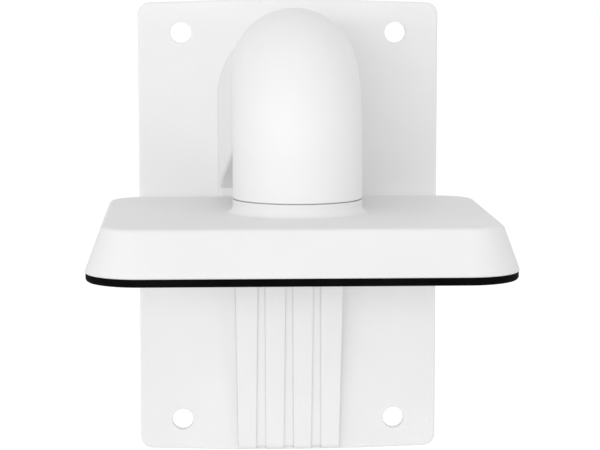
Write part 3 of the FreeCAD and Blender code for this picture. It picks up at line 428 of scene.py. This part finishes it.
def turned(tree, corners, rounds, steps=40, closed=False):
    """A turned body round the Z axis, from corners of radius and height. An open line runs
    from axis to axis, and a closed one makes a ring."""
    edge = outline(tree, corners, rounds, closed=closed)
    # The ring's radius is 1 m, and the profile is set back by as much
    ring = shape_step(tree, "CurvePrimitiveCircle", {"Resolution": steps, "Radius": 1.0})
    set_back = shape_step(
        tree,
        "Transform",
        {"Geometry": edge, "Translation": (-1.0, 0.0, 0.0), "Scale": (1.0, -1.0, 1.0)},
    )
    body = shape_step(tree, "CurveToMesh", {"Curve": ring, "Profile Curve": set_back})
    outward = shape_step(tree, "FlipFaces", {"Mesh": body})
    return shape_step(
        tree, "MergeByDistance", {"Geometry": outward, "Distance": MERGE_DISTANCE}
    )


def cut(tree, body, tool):
    """A body with a tool's shape cut out of it."""
    node = shader_node(
        tree, "GeometryNodeMeshBoolean", operation="DIFFERENCE", solver="EXACT"
    )
    tree.links.new(body, node.inputs["Mesh 1"])
    tree.links.new(tool, node.inputs["Mesh 2"])
    return node.outputs["Mesh"]


def grow(name, tree, sizes, node, places=((0, 0, 0),)):
    """A piece grown by a geometry tree in place of a CAD node. Sizes go in by name and places
    as loose points."""
    seed = bpy.data.meshes.new(name)
    seed.from_pydata([Vector(place) for place in places], [], [])
    piece = new_object(name, seed)
    grower = piece.modifiers.new("grow", "NODES")
    grower.node_group = tree
    for item in tree.interface.items_tree:
        if item.in_out == "INPUT" and item.name in sizes:
            grower[item.identifier] = sizes[item.name]
    flatten(piece)
    # The loose points leave an empty slot before the tree's own material
    finish = piece.data.materials[-1]
    piece.data.materials.clear()
    piece.data.materials.append(finish)
    piece.data.polygons.foreach_set("material_index", [0] * len(piece.data.polygons))
    piece.data.shade_smooth()
    piece.data.set_sharp_from_angle(angle=GROWN_CREASE)
    even_shading(piece)
    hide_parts(node)
    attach(piece, "root")


# Way from the wall to the neck's axis
NECK_REACH = 123.0 * MM

# Seal that runs round the hood's rim
SEAL_SIZES = {
    "Width": 213.6 * MM,
    "Depth": 174.0 * MM,
    "Corner": 26.9 * MM,
    "Land": 8.0 * MM,
    "Thickness": 4.0 * MM,
    "Tongue inset": 2.6 * MM,
    "Tongue width": 2.6 * MM,
    "Tongue height": 2.4 * MM,
    "Edge round": 1.8 * MM,
    "Edge break": 0.3 * MM,
    "Neck reach": NECK_REACH,
    "Rim level": -1.2 * MM,
}


def rim_seal_tree():
    """A rubber strip swept round a rounded rectangle, with a tongue on its upper side."""
    tree, size = new_tree("rim_seal", SEAL_SIZES)
    box = shape_step(
        tree, "CurvePrimitiveQuadrilateral", {"Width": size["Width"], "Height": size["Depth"]}
    )
    path = shape_step(
        tree, "FilletCurve", {"Curve": box, "Radius": size["Corner"], "Count": 16}, mode="POLY"
    )
    tongue_end = calc(tree, "ADD", size["Tongue inset"], size["Tongue width"])
    under = minus(tree, size["Thickness"])
    small = size["Edge break"]
    strip = outline(
        tree,
        [
            (0, 0),
            (0, under),
            (size["Land"], under),
            (size["Land"], 0),
            (tongue_end, 0),
            (tongue_end, size["Tongue height"]),
            (size["Tongue inset"], size["Tongue height"]),
            (size["Tongue inset"], 0),
        ],
        [small, size["Edge round"], small, small, 0.0, small, small, 0.0],
    )
    # A sweep lays the profile's Y towards -Z, so the strip goes in turned half round
    turned_in = shape_step(
        tree, "Transform", {"Geometry": strip, "Rotation": (0.0, 0.0, math.pi)}
    )
    swept = shape_step(tree, "CurveToMesh", {"Curve": path, "Profile Curve": turned_in})
    placed = moved(tree, swept, 0, minus(tree, size["Neck reach"]), size["Rim level"])
    return close_tree(tree, placed, rim_rubber)


# Screws and washers
HOOD_SCREW_SIZES = {
    "Head radius": 4.25 * MM,
    "Head height": 5.0 * MM,
    "Shank radius": 2.5 * MM,
    "Shank length": 19.9 * MM,
    "Socket across": 4.0 * MM,
    "Socket depth": 2.5 * MM,
    "Head round": 0.4 * MM,
    "Under round": 0.2 * MM,
    "Tip round": 0.4 * MM,
}


def hex_tool(tree, across, depth):
    """A six-sided tool, given across its flats, as deep above the XY plane as below it."""
    radius = calc(tree, "DIVIDE", across, math.sqrt(3))
    length = calc(tree, "MULTIPLY", depth, 2.0)
    return shape_step(
        tree, "MeshCylinder", {"Vertices": 6, "Radius": radius, "Depth": length}
    )


def headed_pin(tree, size):
    """A cylindrical head and its shank, head down, from the tree's sizes."""
    tip = calc(tree, "ADD", size["Head height"], size["Shank length"])
    under = size["Under round"]
    return turned(
        tree,
        [
            (0, 0),
            (size["Head radius"], 0),
            (size["Head radius"], size["Head height"]),
            (size["Shank radius"], size["Head height"]),
            (size["Shank radius"], tip),
            (0, tip),
        ],
        [0.0, size["Head round"], under, under, size["Tip round"], 0.0],
    )


def socket_screw_tree():
    """Cap screws with a hex socket, heads down, one on each place."""
    tree, size = new_tree("socket_screws", HOOD_SCREW_SIZES)
    socket = hex_tool(tree, size["Socket across"], size["Socket depth"])
    screw = cut(tree, headed_pin(tree, size), socket)
    return close_tree(tree, set_out(tree, size["Geometry"], screw), screw_steel)


FLAT_SCREW_SIZES = {
    "Head radius": 5.0 * MM,
    "Head depth": 2.5 * MM,
    "Shank radius": 2.5 * MM,
    "Long": 16.0 * MM,
    "Short": 9.0 * MM,
    "Long ones": 4.0,
    "Socket across": 3.0 * MM,
    "Socket depth": 2.0 * MM,
    "Head round": 0.15 * MM,
    "Under round": 0.2 * MM,
    "Tip round": 0.3 * MM,
}


def flat_screw_tree():
    """Countersunk screws with a hex socket, heads to the wall. The first places take the
    long ones."""
    tree, size = new_tree("flat_screws", FLAT_SCREW_SIZES)
    number = tree.nodes.new("GeometryNodeInputIndex").outputs[0]
    last_long = calc(tree, "SUBTRACT", size["Long ones"], 0.5)
    kinds = []
    for length, operation in ((size["Long"], "LESS_THAN"), (size["Short"], "GREATER_THAN")):
        body = turned(
            tree,
            [
                (0, 0),
                (size["Head radius"], 0),
                (size["Shank radius"], size["Head depth"]),
                (size["Shank radius"], length),
                (0, length),
            ],
            [0.0, size["Head round"], size["Under round"], size["Tip round"], 0.0],
        )
        screw = cut(tree, body, hex_tool(tree, size["Socket across"], size["Socket depth"]))
        kinds.append(
            shape_step(
                tree,
                "InstanceOnPoints",
                {
                    "Points": size["Geometry"],
                    "Selection": calc(tree, operation, number, last_long),
                    "Instance": screw,
                    "Rotation": (math.radians(90), 0.0, 0.0),
                },
            )
        )
    return close_tree(tree, joined(tree, *kinds), screw_steel)


WASHER_SIZES = {
    "Outer radius": 4.6 * MM,
    "Inner radius": 2.65 * MM,
    "Thickness": 1.2 * MM,
    "Slit": 0.8 * MM,
    "Edge round": 0.12 * MM,
}


def spring_washer_tree():
    """Split spring washers, one on each place, with the slit towards +X."""
    tree, size = new_tree("spring_washers", WASHER_SIZES)
    middle = half(tree, calc(tree, "ADD", size["Outer radius"], size["Inner radius"]))
    half_gap = calc(tree, "DIVIDE", half(tree, size["Slit"]), middle)
    turn = calc(tree, "SUBTRACT", math.tau, calc(tree, "MULTIPLY", half_gap, 2.0))
    wire = shape_step(
        tree,
        "CurveArc",
        {"Resolution": 48, "Radius": middle, "Start Angle": half_gap, "Sweep Angle": turn},
    )
    outside = half(tree, calc(tree, "SUBTRACT", size["Outer radius"], size["Inner radius"]))
    inside = minus(tree, outside)
    under = minus(tree, size["Thickness"])
    section = outline(
        tree,
        [(inside, 0), (inside, under), (outside, under), (outside, 0)],
        [size["Edge round"]] * 4,
        steps=2,
    )
    washer = shape_step(
        tree, "CurveToMesh", {"Curve": wire, "Profile Curve": section, "Fill Caps": True}
    )
    return close_tree(tree, set_out(tree, size["Geometry"], washer), screw_steel)


EARTH_SCREW_SIZES = {
    "Head radius": 3.75 * MM,
    "Head height": 2.8 * MM,
    "Shank radius": 2.0 * MM,
    "Shank length": 7.0 * MM,
    "Slot width": 1.0 * MM,
    "Slot depth": 1.2 * MM,
    "Head round": 0.9 * MM,
    "Under round": 0.15 * MM,
    "Tip round": 0.3 * MM,
}


def slotted_screw_tree():
    """A cheese-head screw with a driver slot, head down."""
    tree, size = new_tree("slotted_screw", EARTH_SCREW_SIZES)
    # The blade is centred on the head's face and longer than the head is wide
    across = calc(tree, "MULTIPLY", size["Head radius"], 3.0)
    deep = calc(tree, "MULTIPLY", size["Slot depth"], 2.0)
    blade = shape_step(
        tree, "MeshCube", {"Size": point(tree, across, size["Slot width"], deep)}
    )
    screw = cut(tree, headed_pin(tree, size), blade)
    return close_tree(tree, set_out(tree, size["Geometry"], screw), screw_steel)


TOOTH_WASHER_SIZES = {
    "Rim radius": 3.5 * MM,
    "Tip radius": 4.5 * MM,
    "Hole radius": 2.15 * MM,
    "Thickness": 0.8 * MM,
    "Teeth": 12.0,
    "Tooth width": 1.0 * MM,
}


def tooth_washer_tree():
    """A washer with teeth round its rim, its outline made by one star of points."""
    tree, size = new_tree("tooth_washer", TOOTH_WASHER_SIZES)
    # Four points to a tooth: two at its root and two at its tip, numbered 0 to 3
    tooth_points, tooth_middle = 4.0, 1.5
    number = tree.nodes.new("GeometryNodeInputIndex").outputs[0]
    tooth = calc(tree, "FLOOR", calc(tree, "DIVIDE", number, tooth_points))
    corner = calc(tree, "SUBTRACT", number, calc(tree, "MULTIPLY", tooth, tooth_points))
    from_middle = calc(tree, "SUBTRACT", corner, tooth_middle)
    at_tip = calc(tree, "LESS_THAN", calc(tree, "ABSOLUTE", from_middle), 1.0)
    tooth_height = calc(tree, "SUBTRACT", size["Tip radius"], size["Rim radius"])
    rise = calc(tree, "MULTIPLY", tooth_height, at_tip)
    radius = calc(tree, "ADD", size["Rim radius"], rise)
    # Each point's angle: its tooth's middle, and half the tooth's width to its own side
    to_side = calc(tree, "DIVIDE", half(tree, size["Tooth width"]), radius)
    angle = calc(
        tree,
        "ADD",
        calc(tree, "DIVIDE", calc(tree, "MULTIPLY", tooth, math.tau), size["Teeth"]),
        calc(tree, "MULTIPLY", calc(tree, "SIGN", from_middle), to_side),
    )
    place = point(
        tree,
        calc(tree, "MULTIPLY", radius, calc(tree, "COSINE", angle)),
        calc(tree, "MULTIPLY", radius, calc(tree, "SINE", angle)),
    )
    count = calc(tree, "MULTIPLY", size["Teeth"], tooth_points)
    ring = shape_step(tree, "CurvePrimitiveCircle", {"Resolution": count})
    star = shape_step(tree, "SetPosition", {"Geometry": ring, "Position": place})
    hole = shape_step(
        tree, "CurvePrimitiveCircle", {"Resolution": 32, "Radius": size["Hole radius"]}
    )
    face = shape_step(tree, "FillCurve", {"Curve": joined(tree, star, hole)}, mode="NGONS")
    raised = shape_step(
        tree,
        "ExtrudeMesh",
        {
            "Mesh": face,
            "Offset": point(tree, 0, 0, size["Thickness"]),
            "Offset Scale": 1.0,
            "Individual": False,
        },
        mode="FACES",
    )
    under = shape_step(tree, "FlipFaces", {"Mesh": face})
    washer = shape_step(
        tree,
        "MergeByDistance",
        {"Geometry": joined(tree, raised, under), "Distance": MERGE_DISTANCE},
    )
    return close_tree(tree, set_out(tree, size["Geometry"], washer), screw_steel)


PLATE_SIZES = {
    "Width": 170.0 * MM,
    "Height": 259.5 * MM,
    "Thickness": 5.0 * MM,
    "Corner": 6.5 * MM,
    "End bow": 2.0 * MM,
    "Front round": 1.2 * MM,
    "Edge break": 0.3 * MM,
    "Bolts across": 121.6 * MM,
    "Bolts up": 222.6 * MM,
    "Bolt hole": 6.0 * MM,
    "Cable hole": 18.0 * MM,
    "Cable hole height": 70.0 * MM,
    "Grommet recess": 21.2 * MM,
    "Groove inside": 23.8 * MM,
    "Groove outside": 28.2 * MM,
    "Groove depth": 2.0 * MM,
    "Screw hole": 2.75 * MM,
    "Screw head": 2.5 * MM,
    "Bore round": 0.1 * MM,
    "Groove round": 0.2 * MM,
}
# Sides of the tools that cut the round holes
BOLT_HOLE_STEPS = 64
SCREW_HOLE_STEPS = 40
CABLE_HOLE_STEPS = 96


def hole_tool(tree, size, radius, entry, steps):
    """A tool for a round hole through the plate, with a broken edge at the front and a
    bevel at the back, as deep and as wide as its entry."""
    edge = size["Edge break"]
    thick = size["Thickness"]
    soft = size["Bore round"]
    front = calc(tree, "ADD", calc(tree, "ADD", radius, edge), OVERSHOOT)
    back = calc(tree, "ADD", calc(tree, "ADD", radius, entry), OVERSHOOT)
    top = calc(tree, "ADD", thick, OVERSHOOT)
    return turned(
        tree,
        [
            (0, -OVERSHOOT),
            (back, -OVERSHOOT),
            (radius, entry),
            (radius, calc(tree, "SUBTRACT", thick, edge)),
            (front, top),
            (0, top),
        ],
        [0.0, 0.0, soft, soft, 0.0, 0.0],
        steps=steps,
    )


def along(tree, axis):
    """The place of each point along one axis."""
    split = shader_node(tree, "ShaderNodeSeparateXYZ")
    tree.links.new(tree.nodes.new("GeometryNodeInputPosition").outputs[0], split.inputs[0])
    return split.outputs[axis]


def plate_tree():
    """A flat plate with bowed ends and rounded corners, its holes cut by a set of tools."""
    tree, size = new_tree("wall_plate", PLATE_SIZES)
    thick = size["Thickness"]
    edge = size["Edge break"]
    box = shape_step(
        tree, "CurvePrimitiveQuadrilateral", {"Width": size["Width"], "Height": size["Height"]}
    )
    rounded = shape_step(
        tree, "FilletCurve", {"Curve": box, "Radius": size["Corner"], "Count": 8}, mode="POLY"
    )
    fine = shape_step(tree, "SubdivideCurve", {"Curve": rounded, "Cuts": 3})
    # The ends stand full height at the middle and draw in towards the sides
    share = calc(tree, "DIVIDE", along(tree, "X"), half(tree, size["Width"]))
    fall = calc(tree, "MULTIPLY", calc(tree, "MULTIPLY", share, share), size["End bow"])
    end = calc(tree, "DIVIDE", along(tree, "Y"), minus(tree, half(tree, size["Height"])))
    rim = shape_step(
        tree,
        "SetPosition",
        {"Geometry": fine, "Offset": point(tree, 0, calc(tree, "MULTIPLY", end, fall))},
    )
    # Edge band, from the front face round the edge to the back face. It reaches 2.5 times
    # the front edge's radius into both faces.
    inset = calc(tree, "MULTIPLY", size["Front round"], -2.5)
    front_level = minus(tree, thick)
    band_edge = outline(
        tree,
        [(inset, front_level), (0, front_level), (0, 0), (inset, 0)],
        [0.0, size["Front round"], edge, 0.0],
        closed=False,
        steps=5,
    )
    band = shape_step(tree, "CurveToMesh", {"Curve": rim, "Profile Curve": band_edge})
    # The band's upper rim, its open edges above half the plate's thickness, gives both
    # faces their outline
    neighbours = tree.nodes.new("GeometryNodeInputMeshEdgeNeighbors").outputs[0]
    is_open = calc(tree, "LESS_THAN", neighbours, 1.5)
    is_upper = calc(tree, "GREATER_THAN", along(tree, "Z"), half(tree, thick))
    face_rim = shape_step(
        tree,
        "MeshToCurve",
        {"Mesh": band, "Selection": calc(tree, "MULTIPLY", is_open, is_upper)},
    )
    face = shape_step(tree, "FillCurve", {"Curve": face_rim}, mode="NGONS")
    front = moved(tree, face, 0, 0, thick)
    back = shape_step(tree, "FlipFaces", {"Mesh": face})
    slab = shape_step(
        tree,
        "MergeByDistance",
        {"Geometry": joined(tree, band, front, back), "Distance": WELD_DISTANCE},
    )
    # Tools for the holes
    bolts = shape_step(
        tree,
        "MeshGrid",
        {
            "Size X": size["Bolts across"],
            "Size Y": size["Bolts up"],
            "Vertices X": 2,
            "Vertices Y": 2,
        },
    )
    bolt_tool = hole_tool(tree, size, size["Bolt hole"], edge, BOLT_HOLE_STEPS)
    bolt_tools = set_out(tree, bolts, bolt_tool)
    screw_tool = hole_tool(tree, size, size["Screw hole"], size["Screw head"], SCREW_HOLE_STEPS)
    screw_tools = set_out(tree, size["Geometry"], screw_tool)
    wide = calc(tree, "ADD", size["Cable hole"], OVERSHOOT)
    break_level = calc(tree, "SUBTRACT", thick, edge)
    top = calc(tree, "ADD", break_level, OVERSHOOT)
    cable_tool = turned(
        tree,
        [
            (0, -OVERSHOOT),
            (size["Grommet recess"], -OVERSHOOT),
            (size["Grommet recess"], size["Groove depth"]),
            (size["Cable hole"], size["Groove depth"]),
            (size["Cable hole"], break_level),
            (wide, top),
            (0, top),
        ],
        [0.0] * 7,
        steps=CABLE_HOLE_STEPS,
    )
    soft = size["Groove round"]
    groove_tool = turned(
        tree,
        [
            (size["Groove inside"], -OVERSHOOT),
            (size["Groove outside"], -OVERSHOOT),
            (size["Groove outside"], size["Groove depth"]),
            (size["Groove inside"], size["Groove depth"]),
        ],
        [0.0, 0.0, soft, soft],
        steps=CABLE_HOLE_STEPS,
        closed=True,
    )
    cable_tools = moved(
        tree, joined(tree, cable_tool, groove_tool), 0, size["Cable hole height"]
    )
    tools = shape_step(
        tree,
        "RealizeInstances",
        {"Geometry": joined(tree, bolt_tools, screw_tools, cable_tools)},
    )
    upright = shape_step(
        tree,
        "Transform",
        {"Geometry": cut(tree, slab, tools), "Rotation": (math.radians(90), 0.0, 0.0)},
    )
    return close_tree(tree, upright, plate_coat)


# The four neck screws stand between the main directions, on a circle round the neck's axis
BOLT_CIRCLE_RADIUS = 25.0 * MM
BOLT_OFFSET = BOLT_CIRCLE_RADIUS * math.sqrt(0.5)
BOLT_PLACES = [
    (x * BOLT_OFFSET, y * BOLT_OFFSET - NECK_REACH) for x in (1, -1) for y in (1, -1)
]
EARTH_PLACE = (52.0 * MM, -NECK_REACH)
# Levels of the fasteners inside the hood, and how far the plate's screws lie in from its back
NECK_BOLT_LEVEL = 12.4 * MM
SPRING_WASHER_LEVEL = 17.4 * MM
EARTH_SCREW_LEVEL = 10.0 * MM
EARTH_WASHER_LEVEL = 12.8 * MM
PLATE_SCREW_SINK = 0.22 * MM
# Long screws in the foot first, then the two short ones in the spine
PLATE_SCREW_PLACES = [
    (x * MM, z * MM)
    for x, z in (
        (23.29, 96.14),
        (-23.29, 96.14),
        (30.4, 35.5),
        (-30.4, 35.5),
        (0, -88.75),
        (0, -16.75),
    )
]

grow("rim_seal", rim_seal_tree(), SEAL_SIZES, "hood_seal")
grow(
    "neck_bolts",
    socket_screw_tree(),
    HOOD_SCREW_SIZES,
    "hood_screws",
    [(x, y, NECK_BOLT_LEVEL) for x, y in BOLT_PLACES],
)
grow(
    "spring_washers",
    spring_washer_tree(),
    WASHER_SIZES,
    "hood_washers",
    [(x, y, SPRING_WASHER_LEVEL) for x, y in BOLT_PLACES],
)
grow(
    "plate_screws",
    flat_screw_tree(),
    FLAT_SCREW_SIZES,
    "arm_screws",
    [(x, -PLATE_SCREW_SINK, z) for x, z in PLATE_SCREW_PLACES],
)
grow(
    "slotted_earth_screw",
    slotted_screw_tree(),
    EARTH_SCREW_SIZES,
    "earth_screw",
    [(*EARTH_PLACE, EARTH_SCREW_LEVEL)],
)
grow(
    "toothed_earth_washer",
    tooth_washer_tree(),
    TOOTH_WASHER_SIZES,
    "earth_washer",
    [(*EARTH_PLACE, EARTH_WASHER_LEVEL)],
)
grow(
    "drilled_plate",
    plate_tree(),
    PLATE_SIZES,
    "wall_plate",
    [(x, z, 0) for x, z in PLATE_SCREW_PLACES],
)


# Camera, at the photograph's viewing angle
camera_data = bpy.data.cameras.new("camera")
camera_data.lens = 132
camera_data.sensor_width = 36
# Well past the floor's far edge
camera_data.clip_end = 60
camera = new_object("camera", camera_data)
camera.location = (-50.7 * MM, -1256 * MM, 146.3 * MM)
camera.rotation_euler = (math.radians(83.39), 0, math.radians(-2.63))
bpy.context.scene.camera = camera


# Studio: soft boxes, white surroundings, pale floor
def soft_box(name, place, aim, width, height, power):
    """A rectangular area lamp that looks at a point and isn't seen itself."""
    lamp_data = bpy.data.lights.new(name, "AREA")
    lamp_data.shape = "RECTANGLE"
    lamp_data.size = width
    lamp_data.size_y = height
    lamp_data.energy = power
    lamp = new_object(name, lamp_data)
    lamp.location = place
    lamp.rotation_euler = (Vector(aim) - Vector(place)).to_track_quat("-Z", "Y").to_euler()
    lamp.visible_camera = False


# Name, place, aim, width, height (metres) and power (watts) of each lamp
BRACKET_MIDDLE = (0, -0.08, 0)
SPINE_MIDDLE = (0, -0.03, -0.085)
LAMPS = (
    ("front box", (-0.447, -2.034, 0.264), BRACKET_MIDDLE, 0.8, 0.3, 6.0),
    ("left front box", (-1.222, -1.664, 0.264), BRACKET_MIDDLE, 0.6, 0.25, 3.3),
    ("right front box", (1.222, -1.664, 0.264), BRACKET_MIDDLE, 0.6, 0.25, 2.3),
    ("left box", (-1.75, -1.0, 0.75), BRACKET_MIDDLE, 0.6, 0.4, 2.0),
    ("low box", (0.03, -0.21, -0.17), SPINE_MIDDLE, 0.16, 0.06, 0.036),
)
for lamp_line in LAMPS:
    soft_box(*lamp_line)

# White surroundings: full white where they are seen or mirrored, duller as a light
SURROUNDINGS_SEEN = 1.0
SURROUNDINGS_LIGHT = 0.76
world = bpy.data.worlds.new("studio")
bpy.context.scene.world = world
world.use_nodes = True
sky = world.node_tree
shown = shader_node(sky, "ShaderNodeLightPath")
seen = shader_node(sky, "ShaderNodeMath", operation="MAXIMUM")
sky.links.new(shown.outputs["Is Camera Ray"], seen.inputs[0])
mirrored = shader_node(sky, "ShaderNodeMath", operation="MAXIMUM")
sky.links.new(shown.outputs["Is Glossy Ray"], mirrored.inputs[0])
sky.links.new(shown.outputs["Is Transmission Ray"], mirrored.inputs[1])
sky.links.new(mirrored.outputs["Value"], seen.inputs[1])
level = shader_node(sky, "ShaderNodeMapRange")
sky.links.new(seen.outputs["Value"], level.inputs["Value"])
level.inputs["To Min"].default_value = SURROUNDINGS_LIGHT
level.inputs["To Max"].default_value = SURROUNDINGS_SEEN
sky.nodes["Background"].inputs["Color"].default_value = (1, 1, 1, 1)
sky.links.new(level.outputs["Result"], sky.nodes["Background"].inputs["Strength"])

# Floor well below the bracket, which hangs on a wall. The camera sees it almost as white
# as the surroundings.
FLOOR_DROP = 0.06
FLOOR_REACH = 12
FLOOR_GLOW = 1.12
FLOOR_GLOW_SHARE = 0.85
FLOOR_GREY = (0.9, 0.9, 0.9, 1)
floor_mesh = bpy.data.meshes.new("floor")
floor_level = cad_box[0][2] - FLOOR_DROP
floor_corners = ((-1, -1), (1, -1), (1, 1), (-1, 1))
floor_mesh.from_pydata(
    [(x * FLOOR_REACH, y * FLOOR_REACH, floor_level) for x, y in floor_corners],
    [],
    [(0, 1, 2, 3)],
)
floor_coat = bpy.data.materials.new("floor")
floor_coat.use_nodes = True
ground = floor_coat.node_tree
pale = ground.nodes["Principled BSDF"]
pale.inputs["Base Color"].default_value = FLOOR_GREY
pale.inputs["Roughness"].default_value = 0.9
bright = shader_node(ground, "ShaderNodeEmission")
bright.inputs["Strength"].default_value = FLOOR_GLOW
path = shader_node(ground, "ShaderNodeLightPath")
share = shader_node(ground, "ShaderNodeMath", operation="MULTIPLY")
ground.links.new(path.outputs["Is Camera Ray"], share.inputs[0])
share.inputs[1].default_value = FLOOR_GLOW_SHARE
mix = shader_node(ground, "ShaderNodeMixShader")
ground.links.new(share.outputs["Value"], mix.inputs["Fac"])
ground.links.new(pale.outputs["BSDF"], mix.inputs[1])
ground.links.new(bright.outputs["Emission"], mix.inputs[2])
# From below the floor is clear, so that the bracket's underside can be looked at
clear = shader_node(ground, "ShaderNodeBsdfTransparent")
side = shader_node(ground, "ShaderNodeNewGeometry")
one_sided = shader_node(ground, "ShaderNodeMixShader")
ground.links.new(side.outputs["Backfacing"], one_sided.inputs["Fac"])
ground.links.new(mix.outputs["Shader"], one_sided.inputs[1])
ground.links.new(clear.outputs["BSDF"], one_sided.inputs[2])
ground.links.new(
    one_sided.outputs["Shader"], ground.nodes["Material Output"].inputs["Surface"]
)
floor_mesh.materials.append(floor_coat)
new_object("floor", floor_mesh)

bpy.context.scene.view_settings.view_transform = "Standard"
